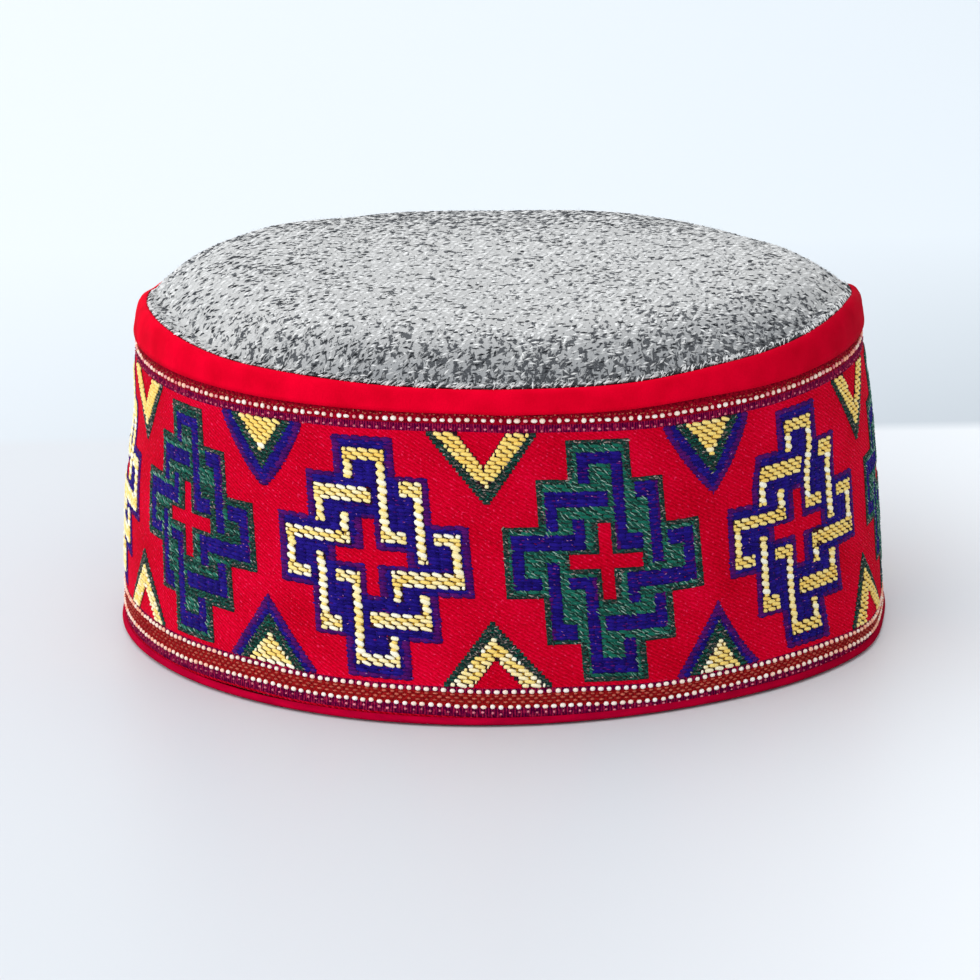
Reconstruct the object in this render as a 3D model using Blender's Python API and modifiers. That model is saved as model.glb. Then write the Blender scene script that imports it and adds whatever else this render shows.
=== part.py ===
# Himachali cap: a pillbox cap of grey tweed inside a patterned red cuff, standing on its rim.
# Blender 4.5, metres, +Z up. The cap's front faces -Y, and its origin is the centre of its base.

import math

import bpy

MM = 0.001

# Driving dimensions
BASE_RADIUS = 94.0 * MM       # outer face of the woven band at the table
RIM_RADIUS = 88.4 * MM        # outer face of the woven band at the rim
BELLY = 1.0 * MM              # how far the cuff swells out halfway up
RIM_HEIGHT = 78.6 * MM        # top fold of the cuff, before the rim's wave
CROWN_RISE = 10.8 * MM        # middle of the crown above its edge
CROWN_POWER = 7.3             # how flat the crown's top is before its edge turns down
CUFF_OVER_CROWN = 1.2 * MM    # the cuff's fold stands this far above the crown's edge

BAND_THICK = 1.2 * MM
STRIP_THICK = 0.8 * MM
WOOL_THICK = 2.0 * MM
GAP = 0.3 * MM                # clearance kept between cloths that touch
WOOL_GAP = 0.5 * MM           # and between the strip's inner leg and the wool

TOP_STRIP_SHOWS = 6.0 * MM    # height of the red strip on the outside
TOP_STRIP_INSIDE = 8.0 * MM   # and between the cuff and the cap's wall
BINDING_SHOWS = 1.9 * MM      # height of the red binding on the outside
BINDING_INSIDE = 8.0 * MM     # and inside the cap
CROWN_SKIRT = 4.0 * MM        # the crown's turned-down edge
FOLD_CHAMFER = 0.3 * MM       # blunt corner of a folded strip

TURN_STEPS = 72
WALL_ROWS = 8
CROWN_ROWS = 10

# The soft rim isn't level: how far the cuff's fold and the crown's edge stand above their nominal
# heights, by the angle round from the front, positive towards +X
RIM_WAVE = (
    # angle_deg, cuff_lift, crown_lift
    (-180.0, -4.8 * MM, -3.1 * MM),
    (-150.0, -3.4 * MM, -1.4 * MM),
    (-125.0, -0.6 * MM, 1.8 * MM),
    (-105.0, 0.2 * MM, 2.4 * MM),
    (-90.0, 2.6 * MM, 2.3 * MM),
    (-75.0, 3.6 * MM, 1.5 * MM),
    (-40.0, 1.4 * MM, 1.4 * MM),
    (0.0, 0.1 * MM, 0.1 * MM),
    (40.0, 1.4 * MM, 1.4 * MM),
    (75.0, 3.6 * MM, 1.5 * MM),
    (90.0, 1.4 * MM, 1.6 * MM),
    (105.0, -2.0 * MM, 0.0 * MM),
    (125.0, -3.4 * MM, -1.6 * MM),
    (150.0, -3.4 * MM, -1.4 * MM),
    (180.0, -4.8 * MM, -3.1 * MM),
)
CUFF_LIFT = 1
CROWN_LIFT = 2

# Where the cuff is pressed in (a positive depth) or swells out (a negative one)
DENTS = (
    # angle_deg, height, depth, reach_deg, reach_height
    (-88.0, 52.0 * MM, 1.6 * MM, 30.0, 11.0 * MM),
    (-90.0, 79.0 * MM, 1.3 * MM, 25.0, 13.0 * MM),
    (88.0, 72.0 * MM, 0.9 * MM, 30.0, 18.0 * MM),
    (-15.0, 44.0 * MM, 0.5 * MM, 35.0, 16.0 * MM),
    (-10.0, 0.0, -1.8 * MM, 42.0, 14.0 * MM),
    (49.0, 0.0, -2.2 * MM, 15.0, 12.0 * MM),
)

# The crown is fuller towards its left and back
CROWN_LEAN_ANGLE = -123.0
CROWN_LEAN = 0.9 * MM           # extra height there, two thirds of the way out

COLOURS = {
    # name: base colour, roughness
    "grey_tweed": ((0.45, 0.46, 0.45, 1.0), 0.95),
    "woven_pattern": ((0.62, 0.01, 0.04, 1.0), 0.8),
    "red_strip": ((0.75, 0.004, 0.02, 1.0), 0.6),
}


def clear_scene():
    for thing in list(bpy.data.objects):
        bpy.data.objects.remove(thing, do_unlink=True)


def collection(name):
    made = bpy.data.collections.new(name)
    bpy.context.scene.collection.children.link(made)
    return made


def material(name):
    colour, roughness = COLOURS[name]
    made = bpy.data.materials.new(name)
    made.use_nodes = True
    shader = made.node_tree.nodes["Principled BSDF"]
    shader.inputs["Base Color"].default_value = colour
    shader.inputs["Roughness"].default_value = roughness
    shader.inputs["Metallic"].default_value = 0.0
    return made


def smooth(t):
    """Ease from 0 to 1 with level ends."""
    t = min(max(t, 0.0), 1.0)
    return t * t * (3.0 - 2.0 * t)


def rim_lift(angle_deg, column):
    """Lift of the rim at an angle, from the cuff's or the crown's column of RIM_WAVE."""
    for row, following in zip(RIM_WAVE, RIM_WAVE[1:]):
        if angle_deg <= following[0]:
            share = smooth((angle_deg - row[0]) / (following[0] - row[0]))
            return row[column] + (following[column] - row[column]) * share
    return RIM_WAVE[-1][column]


def cuff_radius(height):
    """Outer face of the woven band, before any dent."""
    k = height / RIM_HEIGHT
    return BASE_RADIUS + (RIM_RADIUS - BASE_RADIUS) * k + BELLY * 4.0 * k * (1.0 - k)


def dent_depth(angle_deg, height):
    """How far the wall is pushed in at a point, over every row of DENTS."""
    total = 0.0
    for at_deg, at_height, depth, reach_deg, reach_height in DENTS:
        turn = (angle_deg - at_deg + 180.0) % 360.0 - 180.0
        total += depth * math.exp(-(turn / reach_deg) ** 2 - ((height - at_height) / reach_height) ** 2)
    return total


def settle(x, y, z, column):
    """Move a point of the turned cap to its place on the soft one."""
    radius = math.hypot(x, y)
    if radius < 1e-6:
        return x, y, z
    angle_deg = math.degrees(math.atan2(x, -y))
    crown_edge = RIM_RADIUS - 2.0 * WOOL_THICK
    share = min(radius / crown_edge, 1.0)
    lift = rim_lift(angle_deg, column) * min(z / RIM_HEIGHT, 1.0) * share ** 2
    two_thirds_out = 27.0 / 4.0 * share ** 2 * (1.0 - share)
    lean = CROWN_LEAN * math.cos(math.radians(angle_deg - CROWN_LEAN_ANGLE)) * two_thirds_out
    scale = 1.0 - dent_depth(angle_deg, z) * share ** 4 / radius
    return x * scale, y * scale, z + lift + lean


def turned(name, group, profile, closed, column, material_name):
    """A ring or disc: the profile (radius, height) runs down its outer side and is turned by Screw."""
    count = len(profile)
    edges = [(i, i + 1) for i in range(count - 1)]
    if closed:
        edges.append((count - 1, 0))
    mesh = bpy.data.meshes.new(name + "_profile")
    mesh.from_pydata([(radius, 0.0, height) for radius, height in profile], edges, [])
    guide = bpy.data.objects.new(name + "_profile", mesh)
    bpy.context.scene.collection.objects.link(guide)
    screw = guide.modifiers.new("Turn", "SCREW")
    screw.axis = "Z"
    screw.angle = 2.0 * math.pi
    screw.steps = TURN_STEPS
    screw.render_steps = TURN_STEPS
    screw.use_merge_vertices = True
    screw.merge_threshold = 0.00001
    turned_mesh = bpy.data.meshes.new_from_object(guide.evaluated_get(bpy.context.evaluated_depsgraph_get()))
    bpy.data.objects.remove(guide, do_unlink=True)
    for vertex in turned_mesh.vertices:
        vertex.co = settle(*vertex.co, column)
    turned_mesh.name = name
    turned_mesh.materials.clear()
    turned_mesh.materials.append(bpy.data.materials[material_name])
    turned_mesh.shade_smooth()
    turned_mesh.set_sharp_from_angle(angle=math.radians(40.0))
    piece = bpy.data.objects.new(name, turned_mesh)
    group.objects.link(piece)
    return piece


def wall_profile(inset, thick, bottom, top, rows):
    """Closed section of an upright wall whose outer face lies inset behind the band's outer face."""
    heights = [top + (bottom - top) * i / rows for i in range(rows + 1)]
    outer = [(cuff_radius(z) - inset, z) for z in heights]
    inner = [(cuff_radius(z) - inset - thick, z) for z in reversed(heights)]
    return outer + inner


def folded_profile(fold, outer_end, inner_end, reach_out, reach_in):
    """Closed section of a strip folded over an edge at height fold.

    The outer leg ends at outer_end and the inner leg at inner_end. reach_out and reach_in are
    the distances from the band's outer face to the strip's outermost and innermost faces.
    """
    side = 1.0 if fold > outer_end else -1.0
    corner = fold - side * FOLD_CHAMFER
    under = fold - side * STRIP_THICK

    def point(offset, height):
        return cuff_radius(min(max(height, 0.0), RIM_HEIGHT)) + offset, height

    loop = [
        point(reach_out, outer_end),
        point(reach_out - STRIP_THICK, outer_end),
        point(reach_out - STRIP_THICK, under),
        point(-reach_in + STRIP_THICK, under),
        point(-reach_in + STRIP_THICK, inner_end),
        point(-reach_in, inner_end),
        point(-reach_in, corner),
        point(-reach_in + FOLD_CHAMFER, fold),
        point(reach_out - FOLD_CHAMFER, fold),
        point(reach_out, corner),
    ]
    return loop if side > 0.0 else loop[::-1]


def crown_profile(edge_radius, skirt_bottom):
    """Open section of the domed crown, from its middle over the edge and back underneath."""
    edge_height = RIM_HEIGHT - CUFF_OVER_CROWN
    top_height = edge_height + CROWN_RISE
    shares = [math.sin(0.5 * math.pi * i / CROWN_ROWS) for i in range(CROWN_ROWS + 1)]

    def outer(share):
        return edge_radius * share, top_height - CROWN_RISE * share ** CROWN_POWER

    def inner(share):
        inner_radius = edge_radius - WOOL_THICK
        drop = WOOL_THICK * (1.0 + 0.15 * share)
        return inner_radius * share, top_height - CROWN_RISE * share ** CROWN_POWER - drop

    over = [outer(share) for share in shares]
    skirt = [(edge_radius, skirt_bottom), (edge_radius - WOOL_THICK, skirt_bottom)]
    under = [inner(share) for share in reversed(shares)]
    return over + skirt + under


def build_cap():
    for name in COLOURS:
        material(name)
    group = collection("himachali_cap")

    strip_out = GAP + STRIP_THICK
    strip_in = BAND_THICK + GAP + STRIP_THICK
    wool_inset = strip_in + WOOL_GAP
    binding_in = wool_inset + WOOL_THICK + GAP + STRIP_THICK
    seat = STRIP_THICK + GAP
    crown_edge = cuff_radius(RIM_HEIGHT) - wool_inset
    skirt_bottom = RIM_HEIGHT - CUFF_OVER_CROWN - CROWN_SKIRT

    crown = crown_profile(crown_edge, skirt_bottom)
    wool_wall = wall_profile(wool_inset, WOOL_THICK, seat, skirt_bottom - GAP, WALL_ROWS)
    woven_band = wall_profile(0.0, BAND_THICK, seat, RIM_HEIGHT - seat, WALL_ROWS)
    top_strip = folded_profile(RIM_HEIGHT, RIM_HEIGHT - TOP_STRIP_SHOWS, RIM_HEIGHT - TOP_STRIP_INSIDE,
                               strip_out, strip_in)
    bottom_binding = folded_profile(0.0, BINDING_SHOWS, BINDING_INSIDE, strip_out, binding_in)

    turned("crown", group, crown, False, CROWN_LIFT, "grey_tweed")
    turned("wool_wall", group, wool_wall, True, CROWN_LIFT, "grey_tweed")
    turned("woven_band", group, woven_band, True, CUFF_LIFT, "woven_pattern")
    turned("top_strip", group, top_strip, True, CUFF_LIFT, "red_strip")
    turned("bottom_binding", group, bottom_binding, True, CUFF_LIFT, "red_strip")


clear_scene()
build_cap()
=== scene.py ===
import math

import bmesh
import bpy
import numpy as np
from mathutils import Matrix, Vector


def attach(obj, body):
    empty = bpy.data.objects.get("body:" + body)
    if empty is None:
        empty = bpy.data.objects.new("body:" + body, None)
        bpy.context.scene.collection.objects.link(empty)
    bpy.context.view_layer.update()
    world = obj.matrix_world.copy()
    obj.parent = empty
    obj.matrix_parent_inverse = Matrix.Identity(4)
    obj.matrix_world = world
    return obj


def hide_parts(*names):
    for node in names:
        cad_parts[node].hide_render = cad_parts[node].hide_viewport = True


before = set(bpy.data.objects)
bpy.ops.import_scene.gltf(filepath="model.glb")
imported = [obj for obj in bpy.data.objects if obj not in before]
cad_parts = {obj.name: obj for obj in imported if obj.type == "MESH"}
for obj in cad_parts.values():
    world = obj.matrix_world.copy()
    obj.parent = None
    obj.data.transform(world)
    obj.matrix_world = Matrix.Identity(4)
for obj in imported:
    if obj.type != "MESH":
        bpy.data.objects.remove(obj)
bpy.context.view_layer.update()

# The cap's cloths, sewn and standing on the rim, with the woven pattern laid in thread by thread.
# Metres, +Z up, the front faces -Y. Sizes in the tables are in millimetres.
MM = 0.001
RANDOM = np.random.default_rng(7)

# The frame's own shape, as in the part's source. The last of the dents, a swelling at the foot, is the
# scene's own.
BASE_RADIUS = 94.0
RIM_RADIUS = 88.4
BELLY = 1.0
RIM_HEIGHT = 78.6
CROWN_RISE = 10.8
CROWN_POWER = 7.3
WOOL_INSET = 2.8
CUFF_OVER_CROWN = 1.2
CROWN_EDGE = RIM_RADIUS - 4.0
RIM_WAVE = (
    # angle_deg, cuff_lift, crown_lift
    (-180.0, -4.8, -3.1),
    (-150.0, -3.4, -1.4),
    (-125.0, -0.6, 1.8),
    (-105.0, 0.2, 2.4),
    (-90.0, 2.6, 2.3),
    (-75.0, 3.6, 1.5),
    (-40.0, 1.4, 1.4),
    (0.0, 0.1, 0.1),
    (40.0, 1.4, 1.4),
    (75.0, 3.6, 1.5),
    (90.0, 1.4, 1.6),
    (105.0, -2.0, 0.0),
    (125.0, -3.4, -1.6),
    (150.0, -3.4, -1.4),
    (180.0, -4.8, -3.1),
)
CUFF = 1
CROWN = 2
DENTS = (
    # angle_deg, height, depth, reach_deg, reach_height
    (-88.0, 52.0, 1.6, 30.0, 11.0),
    (-90.0, 79.0, 1.3, 25.0, 13.0),
    (88.0, 72.0, 0.9, 30.0, 18.0),
    (-15.0, 44.0, 0.5, 35.0, 16.0),
    (-10.0, 0.0, -1.8, 42.0, 14.0),
    (49.0, 0.0, -2.2, 15.0, 12.0),
    (64.0, 2.0, -2.3, 11.0, 12.0),
)
CROWN_LEAN_ANGLE = -123.0
CROWN_LEAN = 0.9

# How the cloths are made up
CROWN_THICK = 2.0
CROWN_TURN_IN = 5.2
WOOL_THICK = 2.0
BAND_THICK = 1.2
BAND_FOOT = 1.1
BAND_TOP = 77.4
SEAM_GAP = 0.3

# The woven strip: s runs round the cap at this radius from the middle of the front, b is the height
STRIP_RADIUS = 92.33
LOWER_BORDER = 8.0
BORDER_TO_BORDER = 63.0
FIELD = (8.7, 68.1)
ROW = 0.914
TIE_PERIOD = 2.76
TIE_SHIFT = 1.38
DOT_SPACING = 1.96
DOT_OUTWARDS = 0.12
FUZZ_COUNT = 3200
STRAND_COUNT = 1500

# The motifs of the pattern, by where their middles lie along the strip
UNIT_X = 8.0
UNIT_Y = 9.45
MOTIF_HEIGHT = 37.8
LEAN = 0.067
SPREAD = 0.00075
MOTIFS = (
    # along the strip, yellow strokes; the first and last only place the side figures at the seam
    (-309.6, False),
    (-253.8, True),
    (-198.0, False),
    (-142.2, True),
    (-86.2, False),
    (-31.0, True),
    (24.1, False),
    (81.3, True),
    (138.5, False),
    (194.3, True),
    (250.1, False),
    (305.9, True),
)
# The stepped cross is three boxes, by their half width and half height in units
STEPS = ((0.94, 2.98), (1.9, 2.0), (2.96, 0.86))
STROKES = (
    # the stepped cross's strokes, for its upper and lower arm and for its left and right arm
    (
        ((-0.49, 2.13), (-0.49, 2.575), (0.52, 2.575), (0.52, 0.52), (0.98, 0.52)),
        ((-1.52, 1.0), (-1.52, 1.55), (0.0, 1.55)),
    ),
    (
        ((-0.53, 2.1), (-0.53, 2.57), (0.47, 2.57), (0.47, 0.75), (0.9, 0.75)),
        ((-1.74, 1.2), (-1.74, 1.57), (-0.12, 1.57)),
    ),
)

GROUND, YELLOW, NAVY, PURPLE, GREEN, GREY, MINT, SHADE, DEEP, BEAD, SPECK, MOSS = range(12)


def smooth(t):
    """From 0 to 1 with soft ends, held there outside."""
    t = np.clip(t, 0.0, 1.0)
    return t * t * (3.0 - 2.0 * t)


def bell(x, middle, reach):
    """1 at the middle, and soon 0 beyond the reach."""
    return np.exp(-((x - middle) / reach) ** 2)


def rim_lift(angle_deg, column):
    """How much the soft rim stands above the nominal one, by a column of RIM_WAVE."""
    turn = (angle_deg + 180.0) % 360.0 - 180.0
    lift = np.full(np.shape(turn), RIM_WAVE[-1][column])
    for row, following in list(zip(RIM_WAVE, RIM_WAVE[1:]))[::-1]:
        share = smooth((turn - row[0]) / (following[0] - row[0]))
        here = row[column] + (following[column] - row[column]) * share
        lift = np.where(turn <= following[0], here, lift)
    return lift


def cuff_radius(height):
    """Radius of the plain cuff's outer face, slightly full half-way up."""
    k = np.clip(height, 0.0, RIM_HEIGHT) / RIM_HEIGHT
    return BASE_RADIUS + (RIM_RADIUS - BASE_RADIUS) * k + BELLY * 4.0 * k * (1.0 - k)


def settled(angle_deg, radius, height, column):
    """Points of the soft cap in metres, from an angle, a radius and a nominal height."""
    angle_deg, radius, height = np.broadcast_arrays(angle_deg, radius, height)
    share = np.minimum(radius / CROWN_EDGE, 1.0)
    dent = np.zeros(angle_deg.shape)
    for at_deg, at_height, depth, reach_deg, reach_height in DENTS:
        turn = (angle_deg - at_deg + 180.0) % 360.0 - 180.0
        dent = dent + depth * np.exp(-(turn / reach_deg) ** 2 - ((height - at_height) / reach_height) ** 2)
    lift = rim_lift(angle_deg, column) * np.minimum(height / RIM_HEIGHT, 1.0) * share ** 2
    two_thirds_out = 27.0 / 4.0 * share ** 2 * (1.0 - share)
    lean = CROWN_LEAN * np.cos(np.radians(angle_deg - CROWN_LEAN_ANGLE)) * two_thirds_out
    out = radius - dent * share ** 4
    turn = np.radians(angle_deg)
    return np.stack([out * np.sin(turn), -out * np.cos(turn), height + lift + lean], axis=-1) * MM


def cuff_points(angle_deg, height, outwards):
    """Points outwards of the woven band's outer face."""
    return settled(angle_deg, cuff_radius(height) + outwards, height, CUFF)


def strip_height(s, b):
    """The cuff's nominal height of a point of the woven strip, which keeps its own width all round."""
    turn = s / STRIP_RADIUS
    side = np.sin(turn)
    deg = np.degrees(turn)
    up = np.clip((b - LOWER_BORDER) / BORDER_TO_BORDER, 0.0, 1.0)
    share = up ** 2.2
    low = (-2.6 * side * np.abs(side) - 0.55 * side ** 2) * np.clip(b / LOWER_BORDER, 0.5, 1.0)
    high = -np.sin(1.6 * turn) ** 2
    swell = 0.5 * np.exp(-(deg + 10.0) ** 2 / 42.0 ** 2 - (b / 14.0) ** 2)
    uneven_low = 0.45 * smooth(-deg / 12.0) * smooth((60.0 + deg) / 15.0) + 0.3 * bell(deg, -39.0, 7.0)
    uneven_low = uneven_low - 0.75 * bell(deg, 22.0, 9.0) + 0.75 * bell(deg, 52.0, 13.0)
    uneven_top = 0.35 * smooth((2.0 - deg) / 8.0) - 0.95 * bell(deg, 22.0, 13.0)
    uneven_top = uneven_top - 0.45 * bell(deg, 42.0, 12.0)
    uneven = uneven_low * (1.0 - up) + uneven_top * up
    real = b + low * (1.0 - share) + high * share + swell + uneven
    return real / (1.0 + rim_lift(deg, CUFF) / RIM_HEIGHT)


def strip_points(s, b, outwards):
    """Points outwards of the woven strip's face."""
    return cuff_points(np.degrees(s / STRIP_RADIUS), strip_height(s, b), outwards)


def fold_drop(angle_deg):
    """How much lower the red strip's fold lies than the plain rim."""
    turn = (angle_deg + 180.0) % 360.0 - 180.0
    return 0.35 + 0.25 * smooth(np.abs(turn) / 25.0) + 0.75 * bell(turn, 21.0, 13.0)


CROWN_RADIUS = cuff_radius(RIM_HEIGHT) - WOOL_INSET


def crown_reach(angle_deg):
    """Radius of the lip that the crown lays on the strip's fold."""
    return cuff_radius(RIM_HEIGHT) - 0.9 - 0.7 * np.sin(np.radians(angle_deg)) ** 2


def crown_height(angle_deg, radius):
    """Nominal height of the crown's upper face, with its lip."""
    dome = RIM_HEIGHT - CUFF_OVER_CROWN + CROWN_RISE * (1.0 - (radius / CROWN_RADIUS) ** CROWN_POWER)
    raised = rim_lift(angle_deg, CUFF) - rim_lift(angle_deg, CROWN) - 0.5 * np.sin(np.radians(angle_deg)) ** 2
    lip = RIM_HEIGHT - fold_drop(angle_deg) + 0.15 + raised
    return np.where(radius > 0.93 * CROWN_RADIUS, np.maximum(dome, lip), dome)


# Pieces

def placed(name, data):
    """A mesh, a lamp or a camera as an object of the scene."""
    piece = bpy.data.objects.new(name, data)
    bpy.context.scene.collection.objects.link(piece)
    return piece


def keep_values(mesh, name, kind, values):
    """Keep a value or a vector for each of a mesh's points."""
    field = "value" if kind == "FLOAT" else "vector"
    held = mesh.attributes.new(name, kind, "POINT").data
    held.foreach_set(field, np.asarray(values, np.float32).ravel())


def node(tree, kind, values=None, **settings):
    """A node with its settings, and its inputs set to constants or joined to other nodes' outputs."""
    made = tree.nodes.new(kind)
    for key, value in settings.items():
        setattr(made, key, value)
    for key, value in (values or {}).items():
        socket = made.inputs[key]
        if isinstance(value, bpy.types.NodeSocket):
            tree.links.new(value, socket)
        else:
            socket.default_value = value
    return made


def turned_piece(name, rows, across, along, poles=(False, False), closed=False):
    """A cloth turned round the cap from rows of points that run down its outer side.

    across and along give each point's place on the flat cloth, for the weave. The across values
    have one column more than the points, so that the cloth can be cut at the back. A pole is a
    row of points that meet in one.
    """
    count, columns = rows.shape[:2]
    index = np.arange(count * columns).reshape(count, columns)
    for row, is_pole in ((0, poles[0]), (count - 1, poles[1])):
        if is_pole:
            index[row, :] = index[row, 0]
    used = np.unique(index)
    fresh = np.zeros(count * columns, int)
    fresh[used] = np.arange(len(used))
    faces = []
    flat = []
    for i in range(count if closed else count - 1):
        below = (i + 1) % count
        for j in range(columns):
            after = (j + 1) % columns
            corners = [(i, j, j), (below, j, j), (below, after, j + 1), (i, after, j + 1)]
            ids = [fresh[index[a, b]] for a, b, _ in corners]
            kept = [k for k in range(4) if ids[k] != ids[k - 1]]
            if len(kept) < 3:
                continue
            faces.append([ids[k] for k in kept])
            for k in kept:
                a, _, c = corners[k]
                flat.append((across[a, c], along[a, c]))
    mesh = bpy.data.meshes.new(name)
    mesh.from_pydata([tuple(p) for p in rows.reshape(-1, 3)[used]], [], faces)
    chart = mesh.uv_layers.new(name="cloth")
    chart.data.foreach_set("uv", np.array(flat, dtype=np.float32).ravel())
    mesh.shade_smooth()
    return placed(name, mesh)


def round_about(columns):
    """Angles of a ring's columns, and the same with the closing column for the flat cloth."""
    step = 360.0 / columns
    open_ring = -180.0 + step * np.arange(columns)
    return open_ring, -180.0 + step * np.arange(columns + 1)


def ring_cloth(name, profile, columns, column, creases=None):
    """A closed section of (offset from the band's face, nominal height), turned round the cap."""
    angles, cut = round_about(columns)
    offsets = np.array([p[0] for p in profile])[:, None]
    heights = np.array([p[1] for p in profile])[:, None]
    offsets = offsets + np.zeros(columns)
    heights = heights + np.zeros(columns)
    if creases is not None:
        offsets, heights = creases(angles, offsets, heights)
    rows = settled(angles[None, :], cuff_radius(heights) + offsets, heights, column)
    across = np.broadcast_to(np.radians(cut) * STRIP_RADIUS * MM, (len(profile), columns + 1))
    steps = np.linalg.norm(np.diff(rows[:, :1, :], axis=0), axis=-1)
    run = np.concatenate([[[0.0]], np.cumsum(steps, axis=0)])
    along = np.broadcast_to(run, (len(profile), columns + 1))
    piece = turned_piece(name, rows, across, along, closed=True)
    # How far each point lies on the cloth's inner side, by which the red cloths paint shade there.
    inner = smooth((0.3 - np.array([p[0] for p in profile])) / 0.9)
    keep_values(piece.data, "inner", "FLOAT", np.broadcast_to(inner[:, None], (len(profile), columns)))
    return piece


def rounded_fold(fold, outer_end, inner_end, outer, inner, thick, bend=5):
    """Section of a strip folded over an edge, its fold rounded. The fold is above or below its ends."""
    side = 1.0 if fold > outer_end else -1.0
    half = 0.5 * (outer - inner)
    middle = 0.5 * (outer + inner)
    reach = min(half, 1.5 * thick)
    heights_out = [outer_end + (fold - side * reach - outer_end) * i / 5.0 for i in range(6)]
    over = []
    for i in range(1, 2 * bend):
        turn = math.pi * i / (2.0 * bend)
        over.append((middle + half * math.cos(turn), fold - side * reach * (1.0 - math.sin(turn))))
    heights_in = [fold - side * reach + (inner_end - fold + side * reach) * i / 4.0 for i in range(5)]
    outside = [(outer, h) for h in heights_out] + over + [(inner, h) for h in heights_in]
    under = fold - side * thick
    turn_out = (outer - thick, under - side * 0.15)
    turn_in = (inner + thick, under - side * 0.15)
    inside = [(inner + thick, inner_end), turn_in, (middle, under), turn_out, (outer - thick, outer_end)]
    loop = outside + inside
    return loop[::-1] if side > 0.0 else loop


def crown_cloth(columns=240):
    """The tweed top: its domed face, its lip on the strip's fold and its turned-in edge."""
    angles, cut = round_about(columns)
    edge = CROWN_RADIUS
    top = RIM_HEIGHT - CUFF_OVER_CROWN + CROWN_RISE
    shares = np.sin(0.5 * np.pi * np.linspace(0.0, 1.0, 47))

    def section(at):
        """Radius and nominal height down the crown's upper face, round its lip and back to the middle."""
        reach = crown_reach(at)
        outer = [edge * q + 0.0 * at for q in shares] + [edge + (reach - edge) * q for q in (0.35, 0.7, 1.0)]
        radius = list(outer)
        height = [crown_height(at, r) for r in outer]
        lip = height[-1]
        foot = RIM_HEIGHT - CROWN_TURN_IN
        under = (
            (reach - 0.1, lip - 0.35),
            (edge + 0.3, lip - 0.5),
            (edge, lip - 0.9),
            (edge, RIM_HEIGHT - 3.4),
            (edge, foot),
            (edge - CROWN_THICK, foot),
        )
        for r, h in under:
            radius.append(r + 0.0 * at)
            height.append(h + 0.0 * at)
        for q in shares[::-2]:
            radius.append((edge - CROWN_THICK) * q + 0.0 * at)
            height.append(top - CROWN_RISE * q ** CROWN_POWER - CROWN_THICK * (1.0 + 0.15 * q) + 0.0 * at)
        return np.array(radius), np.array(height)

    radius, height = section(angles)
    rows = settled(angles[None, :], radius, height, CROWN)
    radius, height = section(cut)
    turn = np.radians(cut)[None, :]
    across = radius * np.sin(turn) * MM
    along = -radius * np.cos(turn) * MM
    return turned_piece("crown_cloth", rows, across, along, poles=(True, True))


def wool_cloth():
    """The tweed side wall behind the cuff, which carries the crown."""
    wall_top = RIM_HEIGHT - CROWN_TURN_IN - SEAM_GAP
    heights = [wall_top + (BAND_FOOT - wall_top) * i / 20.0 for i in range(21)]
    profile = [(-WOOL_INSET, h) for h in heights]
    profile += [(-WOOL_INSET - WOOL_THICK, h) for h in heights[::-1]]
    return ring_cloth("wool_cloth", profile, 180, CROWN)


def band_cloth(columns=288):
    """The woven strip's ground. Its flat chart is (s, b), so that its borders follow the weave."""
    angles, cut = round_about(columns)
    b_rows = np.concatenate([[76.4], np.arange(73.0, 1.5, -1.5), [BAND_FOOT]])
    s = np.radians(angles)[None, :] * STRIP_RADIUS
    heights = np.clip(strip_height(s, b_rows[:, None] + 0.0 * s), BAND_FOOT, BAND_TOP)
    outer = settled(angles[None, :], cuff_radius(heights), heights, CUFF)
    inner = settled(angles[None, :], cuff_radius(heights[::-1]) - BAND_THICK, heights[::-1], CUFF)
    rows = np.concatenate([outer, inner])
    b_all = np.concatenate([b_rows, b_rows[::-1]])
    across = np.broadcast_to(np.radians(cut) * STRIP_RADIUS * MM, (len(b_all), columns + 1))
    along = np.broadcast_to(b_all[:, None] * MM, (len(b_all), columns + 1))
    return turned_piece("band_cloth", rows, across, along, closed=True)


# The woven chart

def inside_line(x, y, line, half_x, half_y):
    """Where (x, y) is covered by a stroke of upright and level parts."""
    covered = np.zeros(np.broadcast(x, y).shape, bool)
    for (x0, y0), (x1, y1) in zip(line, line[1:]):
        across = (x >= min(x0, x1) - half_x) & (x <= max(x0, x1) + half_x)
        up = (y >= min(y0, y1) - half_y) & (y <= max(y0, y1) + half_y)
        covered |= across & up
    return covered


def motif_codes(x, y, is_yellow):
    """Thread of the stepped cross at places measured in its units, and where it is."""
    ax = np.abs(x)
    ay = np.abs(y)
    cross = np.zeros(np.broadcast(ax, ay).shape, bool)
    for reach_x, reach_y in STEPS:
        cross |= (ax <= reach_x) & (ay <= reach_y)
    red = ((ax <= 1.12) & (ay <= 0.19)) | ((ax <= 0.21) & (ay <= 1.0))
    half_x, half_y = (0.155, 0.165) if is_yellow else (0.18, 0.18)
    stroke = np.zeros(cross.shape, bool)
    tx, ty = x, y
    for turn in range(4):
        for line in STROKES[turn % 2]:
            stroke |= inside_line(tx, ty, line, half_x, half_y)
        tx, ty = -ty, tx
        half_x, half_y = half_y, half_x
    codes = np.where(stroke, YELLOW if is_yellow else NAVY, NAVY if is_yellow else GREEN)
    codes = np.where(red, GROUND, codes)
    return codes, cross


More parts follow.
